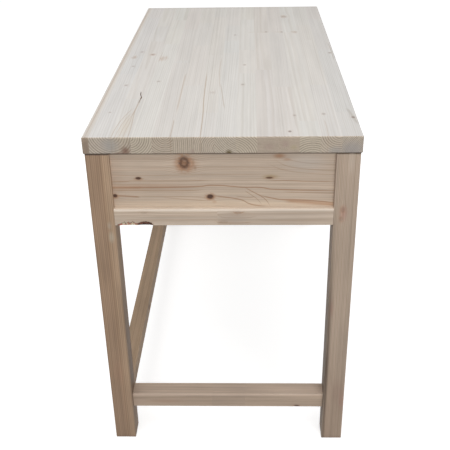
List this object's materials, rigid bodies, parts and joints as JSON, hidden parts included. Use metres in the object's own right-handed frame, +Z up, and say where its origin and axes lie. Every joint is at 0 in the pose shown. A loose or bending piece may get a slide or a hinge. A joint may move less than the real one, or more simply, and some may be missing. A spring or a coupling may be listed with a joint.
{
  "type": "potting bench",
  "caption": "Pale spruce potting bench: thick glued stave worktop on square legs, panelled apron over a lower rail, low end stretchers and a low back stretcher, open at the front.",
  "frame": {"origin": "on the floor under the middle of the worktop, which is also the middle of the footprint", "axes": "+X along the bench, to the right as seen from the front; +Y to its back, where the low long stretcher is; +Z up"},
  "size_m": [1.2, 0.6, 0.86],
  "materials": {
    "worktop": "bare planed spruce, greyed almost white",
    "legs": "bare planed spruce, warm brown",
    "rails": "bare planed spruce, light brown",
    "panels": "bare planed spruce with knots, light brown",
    "cleats": "sawn spruce, unseen from outside",
    "screws": "zinc plated"
  },
  "bodies": {
    "root": {"back_cleat": "cleats", "back_panel": "panels", "back_rail": "rails", "back_stretcher": "rails", "cleat_screw_back_1": "screws", "cleat_screw_back_2": "screws", "cleat_screw_back_3": "screws", "cleat_screw_back_4": "screws", "cleat_screw_front_1": "screws", "cleat_screw_front_2": "screws", "cleat_screw_front_3": "screws", "cleat_screw_front_4": "screws", "cleat_screw_left_1": "screws", "cleat_screw_left_2": "screws", "cleat_screw_right_1": "screws", "cleat_screw_right_2": "screws", "front_cleat": "cleats", "front_panel": "panels", "front_rail": "rails", "left_cleat": "cleats", "left_panel": "panels", "left_rail": "rails", "left_stretcher": "rails", "leg_back_left": "legs", "leg_back_right": "legs", "leg_front_left": "legs", "leg_front_right": "legs", "right_cleat": "cleats", "right_panel": "panels", "right_rail": "rails", "right_stretcher": "rails", "top_screw_back_1": "screws", "top_screw_back_2": "screws", "top_screw_back_3": "screws", "top_screw_back_4": "screws", "top_screw_front_1": "screws", "top_screw_front_2": "screws", "top_screw_front_3": "screws", "top_screw_front_4": "screws", "top_screw_left_1": "screws", "top_screw_left_2": "screws", "top_screw_right_1": "screws", "top_screw_right_2": "screws", "top_stave_01": "worktop", "top_stave_02": "worktop", "top_stave_03": "worktop", "top_stave_04": "worktop", "top_stave_05": "worktop", "top_stave_06": "worktop", "top_stave_07": "worktop", "top_stave_08": "worktop", "top_stave_09": "worktop", "top_stave_10": "worktop", "top_stave_11": "worktop", "top_stave_12": "worktop", "top_stave_13": "worktop", "top_stave_14": "worktop"}
  },
  "joints": []
}
